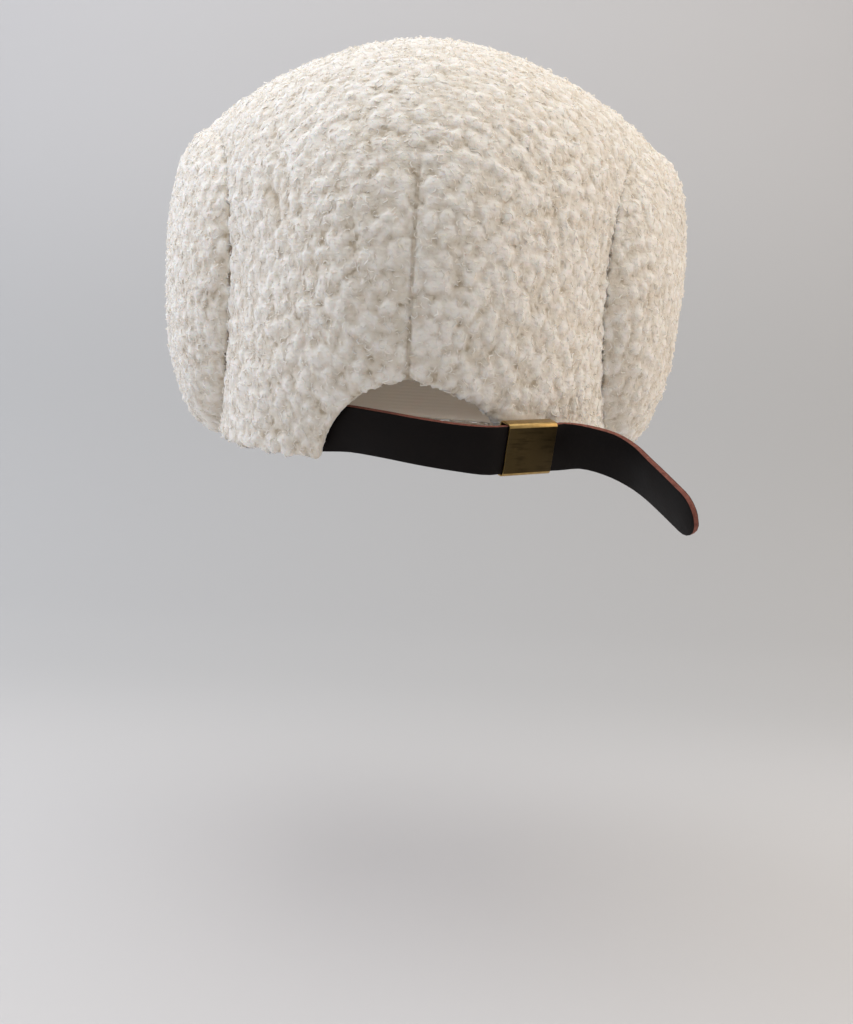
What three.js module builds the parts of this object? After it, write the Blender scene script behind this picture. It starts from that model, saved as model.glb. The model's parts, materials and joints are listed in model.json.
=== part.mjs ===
// A hunting cap of thick cream boucle cloth, with a leather back strap and a brass slide buckle.
// Millimetres, +Z up. The origin is the middle of the head opening, in the plane of the rim at the sides.
// The peak points along -Y, the notch and the strap face +Y, and +X is the wearer's left.
import * as THREE from 'three';
import { mergeVertices } from 'three/addons/utils/BufferGeometryUtils.js';

// Cloth and sewing
const CLOTH = 4;
const SEAM_GAP = 0.3;
const SEAM_DIP = 1.4;
const SEAM_DIP_REACH = 7;
const DART_DEPTH = 1.8;
const DART_HALF_WIDTH = 4;
const DART_TOP = 100;
const DART_FADE = 12;
const DART_COLUMNS = [0.025, 0.055];

// The arched notch at the back: half a flat ellipse standing on the rim, wider on the buckle's side
const NOTCH_LEFT = 30.5;
const NOTCH_RIGHT = 40;
const NOTCH_HEIGHT = 28.9;

// Faces along and across the panels
const PANEL_STEPS = 34;
const NOTCH_STEPS = 8;
const FLANK_STEPS = 8;
const SIDE_STEPS = 12;
const PEAK_STEPS = 28;
const HALVINGS = 40;
const CLOSINGS = 6;
const SMALL = 1e-3;

// The hollow's core line, from front to back: the cloth's inner face lies one thickness nearer to it.
const CORE_Z = 55;
const CORE_BACK = 40;
const CORE_FRONT = -60;

// The side panels' swelling
const SIDE_MIDDLE = [105, -30, 62];
const SWELL_BACK = 15;
const SWELL_FRONT = -45;
const RIM_TUCK = 0.52;

// Leather and brass
const STRAP_WIDTH = 17;
const STRAP_THICK = 2.2;
const TAB_WIDTH = 13;
const TAB_THICK = 2;
const FIT = 0.3;
const BRASS = 0.6;
const BUCKLE_LENGTH = 19.5;
const BUCKLE_ROUNDING = 1.6;
const BUCKLE_INNER_ROUNDING = 0.25;
const BUCKLE_ARC_STEPS = 4;

// Peak
const PEAK_REACH = 50;
const PEAK_END_REACH = 3;
const PEAK_ROOT = 3;
const PEAK_THICK = 4.5;
const PEAK_SLOPE = 0.22;
const PEAK_CURL = 0.0022;
const PEAK_FULLNESS = 0.9;
const PEAK_FAN = 0.5 / 70;
const PEAK_EDGE_THIN = 0.6;
const PEAK_SHARES = [0, 0.06, 0.25, 0.5, 0.75, 0.92, 1];

// The crown's ribs, from the back rim over the top to the front rim.
// centre is the rib's middle (y, z) and seam its end on the side seam (x, y, z).
// arch gives the rib's round and flat powers: 2 and 0.5 is an ellipse, 1.75 and 1 a soft dome.
// side is the side panel's section there: how far along the side rim it starts (0 to 1),
// how far it swells, and how gently it comes out of the seam.
const RIBS = [
  { name: 'back rim', centre: [92, -5.5], seam: [77, 22, 0], arch: [2, 0.5], side: [0, 0, 0.85] },
  { name: 'nape', centre: [104, 25], seam: [73, 45, 25], arch: [2, 0.75], side: [0.08, 10, 0.85] },
  { name: 'back', centre: [109, 60], seam: [71.5, 54, 60], arch: [2.1, 1], side: [0.17, 18, 0.85] },
  { name: 'upper back', centre: [103, 95], seam: [74.5, 49, 94], arch: [2.1, 1], side: [0.27, 22.5, 0.8] },
  { name: 'back shoulder', centre: [83, 126], seam: [80, 32, 113], arch: [2, 1], side: [0.36, 25, 0.72] },
  { name: 'crown', centre: [45, 149], seam: [90, 2, 123], arch: [1.9, 1], side: [0.45, 25, 0.64] },
  { name: 'top', centre: [0, 160.5], seam: [97, -27, 127], arch: [1.85, 1], side: [0.54, 23.5, 0.6] },
  { name: 'fore', centre: [-52, 152], seam: [101, -63, 112], arch: [1.9, 0.9], side: [0.66, 19.5, 0.62] },
  { name: 'front', centre: [-103, 114], seam: [93, -100, 76], arch: [1.9, 0.7], side: [0.79, 14.5, 0.7] },
  { name: 'brow', centre: [-129, 62], seam: [75, -113, 36], arch: [2, 0.6], side: [0.91, 8, 0.8] },
  { name: 'front rim', centre: [-106, 7], seam: [52, -91, 5], arch: [2, 0.6], side: [1, 0, 0.8] },
];

// The side rim, from the back seam to the front seam (x, y, z)
const SIDE_RIM = [
  [77, 22, 0], [79, 4, 0], [79.5, -18, 0], [77, -42, 1], [70, -65, 2.5], [61, -81, 4], [52, -91, 5],
];

// The front rim that carries the peak, from its left end to the middle (x, y, z)
const FRONT_RIM = [[70, -65, 2.5], [61, -81, 4], [52, -91, 5], [28, -103.2, 6.6], [0, -106, 7]];

// The strap from its sewn end inside the left foot of the notch, across the gap.
// x and z place it on the cap's back, and stand is its distance outside the cloth (negative is inside).
const STRAP_ACROSS = [
  { x: 56, z: 4.6, stand: -6 },
  { x: 44, z: 4.8, stand: -6 },
  { x: 33, z: 5, stand: -5.9 },
  { x: 22, z: 5.2, stand: -5.6 },
  { x: 9, z: 5.2, stand: -2.6 },
  { x: -5, z: 5, stand: 1.2 },
  { x: -16, z: 4.8, stand: 3.9 },
];

// The strap's free end past the buckle. heading turns from sideways towards the back, and drop is downwards.
const STRAP_FREE_END = [
  { reach: 8, heading: -15, drop: 0 },
  { reach: 9, heading: 8, drop: 12 },
  { reach: 9, heading: 32, drop: 22 },
  { reach: 10, heading: 50, drop: 27 },
  { reach: 26, heading: 55, drop: 29 },
];
const FREE_END_LEAN = 30;
const STRAP_TIP = 8;
const STRAP_STEPS = 56;
const TIP_STEPS = 5;
const TIP_TURN = 1.45;

// The buckle's place on the back, and the places along its sleeve that keep the leather straight there
const BUCKLE_X = -39.5;
const BUCKLE_Z = 5;
const BUCKLE_RISE = 4;
const STRAP_STOPS = [-16, -10, 0, 10, 15.5];

// The tab, straight in the sleeve and then sewn to the cloth
const TAB_STOPS = [-10.5, -5, 4, 10];
const TAB_SEWN = [{ x: -58, z: 4.4 }, { x: -64, z: 3.8 }];
const TAB_SEAT = 0.5;
const TAB_STEPS = 20;

const COLOURS = {
  boucle: { color: 0xe4dccf, roughness: 0.95, metalness: 0 },
  leather: { color: 0x1a1413, roughness: 0.5, metalness: 0 },
  brass: { color: 0x8a6f3c, roughness: 0.35, metalness: 1 },
};

const radians = THREE.MathUtils.degToRad;
const vector = (x, y, z) => new THREE.Vector3(x, y, z);
const curveThrough = (points) => new THREE.CatmullRomCurve3(points, false, 'centripetal');

const centreCurve = curveThrough(RIBS.map(({ centre }) => vector(0, ...centre)));
const seamCurve = curveThrough(RIBS.map(({ seam }) => vector(...seam)));
const archCurve = curveThrough(RIBS.map(({ arch }) => vector(...arch, 0)));
const swellCurve = curveThrough(RIBS.map(({ side }) => vector(...side)));
const sideRimCurve = curveThrough(SIDE_RIM.map((point) => vector(...point)));

// The direction away from the hollow's core
function outwards(point) {
  const core = vector(0, THREE.MathUtils.clamp(point.y, CORE_FRONT, CORE_BACK), CORE_Z);
  return point.clone().sub(core).normalize();
}
const pushed = (point, distance) => point.clone().addScaledVector(outwards(point), distance);
const bell = (distance, reach) => Math.exp(-((distance / reach) ** 2));

// A point of the top panel before sewing: across runs from seam to seam as -1 to 1, along from back to front.
function topPoint(across, along) {
  const centre = centreCurve.getPoint(along);
  const seam = seamCurve.getPoint(along);
  const arch = archCurve.getPoint(along);
  const side = Math.min(Math.abs(across), 1);
  const fall = 1 - Math.max(1 - side ** arch.x, 0) ** arch.y;
  const point = centre.lerp(seam, fall);
  return point.setX(seam.x * across);
}

// How far along the top panel the back reaches a height, found by halving
function alongAtHeight(across, height) {
  let low = 0;
  let high = 0.5;
  for (let step = 0; step < HALVINGS; step += 1) {
    const middle = (low + high) / 2;
    if (topPoint(across, middle).z < height) low = middle;
    else high = middle;
  }
  return high;
}

// The cloth on the top panel dips along the side seams and into the dart above the notch.
function topCloth(across, along) {
  const point = topPoint(across, along);
  const seamDistance = (1 - Math.abs(across)) * seamCurve.getPoint(along).x;
  const onBack = point.y > 0 ? 1 : 0;
  const dartFade = onBack * THREE.MathUtils.smoothstep(DART_TOP + DART_FADE - point.z, 0, 2 * DART_FADE);
  const dip = SEAM_DIP * bell(seamDistance, SEAM_DIP_REACH);
  const dart = DART_DEPTH * dartFade * bell(point.x, DART_HALF_WIDTH);
  return pushed(point, -dip - dart);
}

// A closed wall from a grid of outer points and the inner points behind them
function wall(outer, inner) {
  const lastRow = outer.length - 1;
  const lastColumn = outer[0].length - 1;
  const positions = [...outer.flat(), ...inner.flat()].flatMap((point) => point.toArray());
  const out = (row, column) => row * (lastColumn + 1) + column;
  const back = (row, column) => (lastRow + 1) * (lastColumn + 1) + out(row, column);
  const triangles = [];
  const quad = (a, b, c, d) => triangles.push([a, b, c], [a, c, d]);
  for (let row = 0; row < lastRow; row += 1) {
    const next = row + 1;
    for (let column = 0; column < lastColumn; column += 1) {
      quad(out(row, column), out(row, column + 1), out(next, column + 1), out(next, column));
      quad(back(row, column), back(next, column), back(next, column + 1), back(row, column + 1));
    }
    quad(out(row, 0), out(next, 0), back(next, 0), back(row, 0));
    quad(out(next, lastColumn), out(row, lastColumn), back(row, lastColumn), back(next, lastColumn));
  }
  for (let column = 0; column < lastColumn; column += 1) {
    const next = column + 1;
    quad(out(0, next), out(0, column), back(0, column), back(0, next));
    quad(out(lastRow, column), out(lastRow, next), back(lastRow, next), back(lastRow, column));
  }
  return closedGeometry(positions, triangles);
}

// Shared corners are merged, collapsed triangles dropped, and the faces turned outwards.
function closedGeometry(positions, triangles) {
  const loose = new THREE.BufferGeometry();
  loose.setAttribute('position', new THREE.Float32BufferAttribute(positions, 3));
  loose.setIndex(triangles.flat());
  const merged = mergeVertices(loose, SMALL);
  const index = merged.index.array;
  const corner = (i) => vector().fromBufferAttribute(merged.attributes.position, i);
  const kept = [];
  let volume = 0;
  for (let i = 0; i < index.length; i += 3) {
    const [a, b, c] = index.slice(i, i + 3);
    if (a === b || b === c || c === a) continue;
    kept.push([a, b, c]);
    volume += corner(a).dot(corner(b).cross(corner(c)));
  }
  const facing = volume < 0 ? kept.map(([a, b, c]) => [a, c, b]) : kept;
  merged.setIndex(facing.flat());
  merged.computeVertexNormals();
  return merged;
}

function piece(name, geometry, finish) {
  const mesh = new THREE.Mesh(geometry, new THREE.MeshStandardMaterial(COLOURS[finish]));
  mesh.name = name;
  return mesh;
}

// Columns across half of the top panel: close together in the dart and in the notch's steep end
function halfColumns(notchWidth) {
  const foot = notchWidth / RIBS[0].seam[0];
  const footTurn = Math.asin(foot);
  const half = [...DART_COLUMNS];
  for (let step = 1; step <= NOTCH_STEPS; step += 1) {
    half.push(foot * Math.sin((step / NOTCH_STEPS) * Math.PI / 2));
  }
  for (let step = 1; step <= FLANK_STEPS; step += 1) {
    half.push(Math.sin(footTurn + (Math.PI / 2 - footTurn) * (step / FLANK_STEPS)));
  }
  return half;
}

function topPanel() {
  const outer = [];
  const right = halfColumns(NOTCH_RIGHT).map((across) => -across).reverse();
  const columns = [...right, 0, ...halfColumns(NOTCH_LEFT)];
  for (let row = 0; row <= PANEL_STEPS; row += 1) {
    outer.push(columns.map((across) => {
      const foot = (across < 0 ? NOTCH_RIGHT : NOTCH_LEFT) / RIBS[0].seam[0];
      const inNotch = Math.max(1 - (across / foot) ** 2, 0);
      const edgeHeight = RIBS[0].centre[1] + NOTCH_HEIGHT * Math.sqrt(inNotch);
      const start = inNotch > 0 ? alongAtHeight(across, edgeHeight) : 0;
      return topCloth(across, start + (1 - start) * (row / PANEL_STEPS));
    }));
  }
  const inner = outer.map((line) => line.map((point) => pushed(point, -CLOTH)));
  return piece('top_panel', wall(outer, inner), 'boucle');
}

// A point of the left side panel: up runs from the rim to the seam, along from back to front.
function sidePoint(up, along) {
  const seam = seamCurve.getPoint(along);
  seam.addScaledVector(vector(...SIDE_MIDDLE).sub(seam).normalize(), SEAM_GAP);
  const { x: rimShare, y: bulge, z: ease } = swellCurve.getPoint(along);
  const rim = sideRimCurve.getPoint(THREE.MathUtils.clamp(rimShare, 0, 1));
  const start = along === 0 || along === 1 ? seam : rim;
  const point = start.clone().lerp(seam, up);
  const middle = THREE.MathUtils.clamp(point.y, SWELL_FRONT, SWELL_BACK);
  const away = vector(point.x, point.y - middle, 0).normalize();
  return point.addScaledVector(away, bulge * swell(up, ease));
}

// The swelling of a side section, 0 at the rim and at the seam and 1 where it is fullest
function swell(up, ease) {
  const shape = (share) => share ** RIM_TUCK * (1 - share) ** ease;
  return shape(up) / shape(RIM_TUCK / (RIM_TUCK + ease));
}

function sidePanel(name, hand) {
  const outer = [];
  for (let row = 0; row <= PANEL_STEPS; row += 1) {
    const along = row / PANEL_STEPS;
    const line = [];
    for (let step = 0; step <= SIDE_STEPS; step += 1) {
      const up = (1 - Math.cos((step / SIDE_STEPS) * Math.PI)) / 2;
      const point = sidePoint(up, along);
      const seamDistance = point.distanceTo(sidePoint(1, along));
      line.push(pushed(point, -SEAM_DIP * bell(seamDistance, SEAM_DIP_REACH)));
    }
    outer.push(line);
  }
  const mirrored = (point) => vector(point.x * hand, point.y, point.z);
  const inner = outer.map((line) => line.map((point) => mirrored(pushed(point, -CLOTH))));
  return piece(name, wall(outer.map((line) => line.map(mirrored)), inner), 'boucle');
}

function peak() {
  const left = FRONT_RIM.map((point) => vector(...point));
  const right = left.slice(0, -1).reverse().map((point) => vector(-point.x, point.y, point.z));
  const rimCurve = curveThrough([...left, ...right]);
  const upper = [];
  for (let step = 0; step <= PEAK_STEPS; step += 1) {
    const turn = step / PEAK_STEPS;
    const rim = rimCurve.getPoint(turn);
    const fromMiddle = Math.abs(2 * turn - 1);
    const reach = PEAK_END_REACH + PEAK_REACH * (1 - fromMiddle ** 2) ** PEAK_FULLNESS;
    const forward = vector(PEAK_FAN * rim.x, -1, 0).normalize();
    upper.push(PEAK_SHARES.map((share) => {
      const distance = -PEAK_ROOT + (PEAK_ROOT + reach) * share;
      const past = Math.max(distance, 0);
      const point = rim.clone().addScaledVector(forward, distance);
      point.z -= SEAM_GAP + PEAK_SLOPE * past + PEAK_CURL * past * past;
      return point;
    }));
  }
  const lower = upper.map((line) => line.map((point, column) => {
    const thin = column === PEAK_SHARES.length - 1 ? PEAK_EDGE_THIN : 1;
    return point.clone().add(vector(0, 0, -PEAK_THICK * thin));
  }));
  return piece('peak', wall(upper, lower), 'boucle');
}

// A place on the back of the cap, its outward normal and its level heading towards -X
function onBack(x, z, stand) {
  let across = x / RIBS[0].seam[0];
  let along = 0;
  for (let step = 0; step < CLOSINGS; step += 1) {
    along = alongAtHeight(across, z);
    across = x / seamCurve.getPoint(along).x;
  }
  const point = topPoint(across, along);
  const sideways = topPoint(across - SMALL, along).sub(point).setZ(0).normalize();
  const upwards = topPoint(across, along + SMALL).sub(point).normalize();
  const normal = upwards.clone().cross(sideways).negate().normalize();
  if (normal.y < 0) normal.negate();
  return { centre: point.addScaledVector(normal, stand), heading: sideways, out: normal };
}

const SLEEVE_DEPTH = 2 * BRASS + 3 * FIT + TAB_THICK + STRAP_THICK;
const BUCKLE_STAND = FIT + SLEEVE_DEPTH / 2;
const STRAP_IN_SLEEVE = SLEEVE_DEPTH / 2 - BRASS - FIT - STRAP_THICK / 2;
const TAB_IN_SLEEVE = STRAP_IN_SLEEVE - STRAP_THICK / 2 - FIT - TAB_THICK / 2;

// The buckle's own axes: along the strap, out from the cap and across the strap
function buckleAxes() {
  const seat = onBack(BUCKLE_X, BUCKLE_Z, BUCKLE_STAND);
  const along = seat.heading.clone().setZ(Math.tan(radians(BUCKLE_RISE))).normalize();
  const across = along.clone().cross(seat.out).normalize();
  if (across.z < 0) across.negate();
  const out = across.clone().cross(along).normalize();
  if (out.y < 0) out.negate();
  return { centre: seat.centre, along, out, across };
}
const axes = buckleAxes();

// The free end's places, each with its outward face leaning down
function freeEnd(start) {
  const places = [];
  let centre = start;
  for (const { reach, heading, drop } of STRAP_FREE_END) {
    const turn = radians(heading);
    const level = reach * Math.cos(radians(drop));
    const step = vector(-level * Math.cos(turn), level * Math.sin(turn), -reach * Math.sin(radians(drop)));
    const lean = radians(FREE_END_LEAN);
    const out = vector(Math.sin(turn) * Math.cos(lean), Math.cos(turn) * Math.cos(lean), -Math.sin(lean));
    centre = centre.clone().add(step);
    places.push({ centre, out });
  }
  return places;
}

// A flat leather band through places that each have a centre and an outward direction.
// Its last stretch, as long as tip, is rounded off.
function band(places, width, thick, steps, tip) {
  const route = curveThrough(places.map(({ centre }) => centre));
  const facing = curveThrough(places.map(({ out }) => out));
  const length = route.getLength();
  const stops = [];
  const tipStart = 1 - tip / length;
  for (let step = 0; step <= steps; step += 1) {
    stops.push((step / steps) * tipStart);
  }
  for (let step = 1; step <= TIP_STEPS && tip > 0; step += 1) {
    stops.push(1 - (1 - tipStart) * (1 - Math.sin((step / TIP_STEPS) * TIP_TURN)));
  }
  const outer = [];
  const inner = [];
  for (const stop of stops) {
    const share = route.getUtoTmapping(stop);
    const place = route.getPoint(share);
    const tangent = route.getTangent(share);
    const out = facing.getPoint(share);
    out.addScaledVector(tangent, -out.dot(tangent)).normalize();
    const across = tangent.clone().cross(out).normalize();
    const past = tip > 0 ? Math.max(stop - tipStart, 0) * (length / tip) : 0;
    const side = across.multiplyScalar((width / 2) * Math.sqrt(1 - past * past));
    const face = place.clone().addScaledVector(out, thick / 2);
    const flesh = place.clone().addScaledVector(out, -thick / 2);
    outer.push([face.clone().sub(side), face.clone().add(side)]);
    inner.push([flesh.clone().sub(side), flesh.clone().add(side)]);
  }
  return wall(outer, inner);
}

const inSleeve = (along, out) => ({
  centre: axes.centre.clone().addScaledVector(axes.along, along).addScaledVector(axes.out, out),
  out: axes.out,
});

function strap() {
  const across = STRAP_ACROSS.map(({ x, z, stand }) => onBack(x, z, stand));
  const sleeve = STRAP_STOPS.map((along) => inSleeve(along, STRAP_IN_SLEEVE));
  const places = [...across, ...sleeve, ...freeEnd(sleeve.at(-1).centre)];
  return piece('strap', band(places, STRAP_WIDTH, STRAP_THICK, STRAP_STEPS, STRAP_TIP), 'leather');
}

function buckleTab() {
  const sleeve = TAB_STOPS.map((along) => inSleeve(along, TAB_IN_SLEEVE));
  const sewn = TAB_SEWN.map(({ x, z }) => onBack(x, z, TAB_SEAT + TAB_THICK / 2));
  return piece('buckle_tab', band([...sleeve, ...sewn], TAB_WIDTH, TAB_THICK, TAB_STEPS, 0), 'leather');
}

// A rounded oblong in the buckle's cross-section
function oblong(Kind, width, height, radius) {
  const outline = new Kind();
  const x = width / 2;
  const y = height / 2;
  outline.moveTo(x, -y + radius);
  outline.lineTo(x, y - radius);
  outline.absarc(x - radius, y - radius, radius, 0, Math.PI / 2, false);
  outline.absarc(-x + radius, y - radius, radius, Math.PI / 2, Math.PI, false);
  outline.absarc(-x + radius, -y + radius, radius, Math.PI, 1.5 * Math.PI, false);
  outline.absarc(x - radius, -y + radius, radius, 1.5 * Math.PI, 2 * Math.PI, false);
  return outline;
}

function buckle() {
  const height = STRAP_WIDTH + 2 * FIT + 2 * BRASS;
  const section = oblong(THREE.Shape, SLEEVE_DEPTH, height, BUCKLE_ROUNDING);
  const inside = oblong(THREE.Path, SLEEVE_DEPTH - 2 * BRASS, height - 2 * BRASS, BUCKLE_INNER_ROUNDING);
  section.holes.push(inside);
  const settings = { depth: BUCKLE_LENGTH, bevelEnabled: false, curveSegments: BUCKLE_ARC_STEPS };
  const sleeve = new THREE.ExtrudeGeometry(section, settings);
  sleeve.translate(0, 0, -BUCKLE_LENGTH / 2);
  const mesh = piece('buckle', sleeve, 'brass');
  const turn = new THREE.Matrix4().makeBasis(axes.out, axes.across, axes.out.clone().cross(axes.across));
  mesh.quaternion.setFromRotationMatrix(turn);
  mesh.position.copy(axes.centre);
  return mesh;
}

const cap = new THREE.Group();
cap.name = 'hunting_cap';
cap.add(topPanel());
cap.add(sidePanel('side_panel_left', 1));
cap.add(sidePanel('side_panel_right', -1));
cap.add(peak());
cap.add(strap());
cap.add(buckleTab());
cap.add(buckle());

export default cap;
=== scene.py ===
# %% [markdown]
# # A boucle hunting cap
# The cap is sewn from thick curled wool cloth: one long panel from the back rim over the crown to the front,
# two D-shaped sides and a short peak. A black leather strap with a brass slide buckle closes the notch
# at the back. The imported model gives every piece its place, and this lesson dresses it.

# %% Load the frame
import json
import math

import bpy
import numpy as np
from mathutils import Matrix, Vector
from mathutils.bvhtree import BVHTree

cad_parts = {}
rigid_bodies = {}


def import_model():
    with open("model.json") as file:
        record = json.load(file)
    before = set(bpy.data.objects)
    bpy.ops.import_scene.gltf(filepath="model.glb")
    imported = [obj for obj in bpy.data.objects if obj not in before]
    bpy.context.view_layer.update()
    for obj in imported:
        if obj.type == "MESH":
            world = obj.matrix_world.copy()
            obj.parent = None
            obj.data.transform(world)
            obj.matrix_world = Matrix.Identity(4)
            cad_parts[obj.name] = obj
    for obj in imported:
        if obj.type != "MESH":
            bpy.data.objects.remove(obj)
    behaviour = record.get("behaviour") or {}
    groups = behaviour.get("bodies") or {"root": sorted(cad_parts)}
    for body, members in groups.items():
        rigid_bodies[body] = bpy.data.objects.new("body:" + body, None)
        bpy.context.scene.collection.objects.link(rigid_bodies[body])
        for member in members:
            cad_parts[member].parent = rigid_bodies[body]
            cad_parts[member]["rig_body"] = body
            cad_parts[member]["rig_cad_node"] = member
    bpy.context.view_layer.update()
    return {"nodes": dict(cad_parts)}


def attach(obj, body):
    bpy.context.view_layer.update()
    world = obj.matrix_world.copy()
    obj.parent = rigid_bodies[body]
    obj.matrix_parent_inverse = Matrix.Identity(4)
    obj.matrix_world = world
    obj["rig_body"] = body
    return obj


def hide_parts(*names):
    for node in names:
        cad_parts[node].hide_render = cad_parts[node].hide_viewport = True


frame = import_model()
MM = 0.001
print("nodes:", sorted(frame["nodes"]))

# %% [markdown]
# ## Camera
# The camera stands behind the cap, a little above its rim, and looks slightly down, so the cap fills the
# upper half of the picture. It could be aimed with a Track To constraint, but a heading, a tilt and a roll
# say the same in three plain angles, in degrees. Blender measures the lens against the picture's long side,
# so the focal length in pixels is divided by the picture's height.

# %% Camera
IMAGE_HEIGHT = 1024
FOCAL_PIXELS = 1282
SENSOR_SIDE = 36
CLIP_START = 0.01
CAMERA_PLACE = (-0.0179, 0.5288, 0.0216)
HEADING = 181.22
TILT = 5.40
ROLL = 3.12

bpy.ops.object.camera_add(location=CAMERA_PLACE)
camera = bpy.context.object
camera.name = "camera"
camera.data.sensor_width = SENSOR_SIDE
camera.data.sensor_fit = "AUTO"
camera.data.lens = SENSOR_SIDE * FOCAL_PIXELS / IMAGE_HEIGHT
camera.data.clip_start = CLIP_START
aim = Matrix.Rotation(math.radians(HEADING), 4, "Z")
aim = aim @ Matrix.Rotation(math.radians(90 - TILT), 4, "X")
aim = aim @ Matrix.Rotation(math.radians(ROLL), 4, "Z")
camera.matrix_world = Matrix.Translation(CAMERA_PLACE) @ aim
bpy.context.scene.camera = camera
print("lens in mm:", round(camera.data.lens, 2))

# %% [markdown]
# ## Helpers for nodes, colours and materials
# Materials and geometry nodes are both trees of nodes, so one small function that adds a node, sets it and
# links it serves them all. Colours are written as the hex values that a colour picker shows,
# and Blender works in linear light, so they are converted once here. A third helper starts a material.

# %% Node and colour helpers
def add_node(tree, kind, links=None, **settings):
    node = tree.nodes.new(kind)
    for name, value in settings.items():
        setattr(node, name, value)
    for socket, source in (links or {}).items():
        if isinstance(source, bpy.types.NodeSocket):
            tree.links.new(source, node.inputs[socket])
        else:
            node.inputs[socket].default_value = source
    return node


def linear(hex_colour):
    channels = [int(hex_colour[i:i + 2], 16) / 255 for i in (1, 3, 5)]
    curve = [c / 12.92 if c <= 0.04045 else ((c + 0.055) / 1.055) ** 2.4 for c in channels]
    return (*curve, 1.0)


def new_material(name):
    material = bpy.data.materials.new(name)
    material.use_nodes = True
    shader = material.node_tree.nodes["Principled BSDF"]
    return material, material.node_tree, shader


print("cream in linear light:", [round(c, 3) for c in linear("#efe8dc")[:3]])

# %% [markdown]
# ## Wool yarn
# Boucle yarn is spun wool whose loops stand out of the cloth. It has no gloss, a soft sheen from loose
# fibres, and light passes a little way into it. Its colour is darkened low on each curl and on low lumps, a
# painted shade for the crevices between the curls, and the tops are cream. An image could carry this painted
# shade, but three
# attributes follow each curl at any size: how high a point lies on it, how high its lump stands, and its own
# tone.

# %% Wool yarn
YARN_TWIST = 0.9 * MM
LIGHT_DEPTH = 2 * MM
RED_GREEN_BLUE_DEPTH = (1.0, 0.8, 0.6)
RISE_WEIGHT = 0.6
LUMP_WEIGHT = 0.5
yarn, tree, shader = new_material("wool_boucle_yarn_looped")
rise = add_node(tree, "ShaderNodeAttribute", attribute_name="rise")
lump = add_node(tree, "ShaderNodeAttribute", attribute_name="lump")
tone = add_node(tree, "ShaderNodeAttribute", attribute_name="tone")
height = add_node(
    tree, "ShaderNodeMath", {0: rise.outputs["Fac"], 1: RISE_WEIGHT}, operation="MULTIPLY")
height = add_node(
    tree, "ShaderNodeMath",
    {0: lump.outputs["Fac"], 1: LUMP_WEIGHT, 2: height.outputs[0]}, operation="MULTIPLY_ADD")
# Painted shade: the yarn's colour darkens where a point lies low on its curl or on a low lump.
depth = add_node(tree, "ShaderNodeValToRGB", {"Fac": height.outputs[0]})
depth.color_ramp.elements[0].position = 0.08
depth.color_ramp.elements[0].color = linear("#e6ddd0")
depth.color_ramp.elements[1].position = 0.62
depth.color_ramp.elements[1].color = linear("#f5f0e8")
warm = add_node(
    tree, "ShaderNodeMix",
    {"Factor": tone.outputs["Fac"], 6: linear("#ffffff"), 7: linear("#f6f0e6")}, data_type="RGBA")
colour = add_node(
    tree, "ShaderNodeMix",
    {"Factor": 1.0, 6: depth.outputs["Color"], 7: warm.outputs[2]},
    data_type="RGBA", blend_type="MULTIPLY")
place = add_node(tree, "ShaderNodeTexCoord")
twist = add_node(
    tree, "ShaderNodeTexNoise",
    {"Vector": place.outputs["Object"], "Scale": 1 / YARN_TWIST, "Detail": 3.0, "Roughness": 0.6})
bump = add_node(
    tree, "ShaderNodeBump", {"Strength": 0.25, "Distance": 0.3 * MM, "Height": twist.outputs["Fac"]})
tree.links.new(colour.outputs[2], shader.inputs["Base Color"])
tree.links.new(bump.outputs["Normal"], shader.inputs["Normal"])
shader.inputs["Roughness"].default_value = 0.95
shader.inputs["Specular IOR Level"].default_value = 0.15
shader.inputs["Sheen Weight"].default_value = 0.5
shader.inputs["Sheen Roughness"].default_value = 0.6
shader.inputs["Subsurface Weight"].default_value = 0.4
shader.inputs["Subsurface Radius"].default_value = RED_GREEN_BLUE_DEPTH
shader.inputs["Subsurface Scale"].default_value = LIGHT_DEPTH
print("made", yarn.name)

# %% [markdown]
# ## Ground cloth
# Under the curls lies a knitted ground. Its outside is felted cream wool, and its colour is darkened to tan
# as painted shade where the lumps stand low, in the crevices between them. Its bare inside also shows as the
# turned hem of the notch. Fine knitted ribs could be an image, but a wave and a noise on object coordinates
# make them at any size.
# A wave texture repeats every 0.314 units at a scale of 1, so its scale is that length over the rib.

# %% Ground cloth
KNIT_RIB = 1.6 * MM
WAVE_REPEAT = 0.314
WOOL_TUFT = 1.4 * MM
ground, tree, shader = new_material("wool_ground_cloth_knitted")
place = add_node(tree, "ShaderNodeTexCoord")
lump = add_node(tree, "ShaderNodeAttribute", attribute_name="lump")
cover = add_node(tree, "ShaderNodeAttribute", attribute_name="cover")
# Painted shade: the pile's colour darkens to tan where its lump stands low, and is darkest in the dart and the
# crease.
pile = add_node(tree, "ShaderNodeValToRGB", {"Fac": lump.outputs["Fac"]})
pile.color_ramp.elements[0].position = 0.0
pile.color_ramp.elements[0].color = linear("#b3a289")
pile.color_ramp.elements[1].position = 0.6
pile.color_ramp.elements[1].color = linear("#f3ede4")
pile.color_ramp.elements.new(0.12).color = linear("#ddd2c1")
colour = add_node(
    tree, "ShaderNodeMix",
    {"Factor": cover.outputs["Fac"], 6: linear("#ddd3c5"), 7: pile.outputs["Color"]}, data_type="RGBA")
ribs = add_node(
    tree, "ShaderNodeTexWave",
    {"Vector": place.outputs["Object"], "Scale": WAVE_REPEAT / KNIT_RIB, "Distortion": 1.5, "Detail": 2.0},
    bands_direction="Z")
fleck = add_node(
    tree, "ShaderNodeTexNoise",
    {"Vector": place.outputs["Object"], "Scale": 1 / KNIT_RIB, "Detail": 4.0})
knit = add_node(
    tree, "ShaderNodeMath", {0: ribs.outputs["Fac"], 1: fleck.outputs["Fac"]}, operation="ADD")
ribbed = add_node(
    tree, "ShaderNodeBump", {"Strength": 0.2, "Distance": 0.3 * MM, "Height": knit.outputs[0]})
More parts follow.
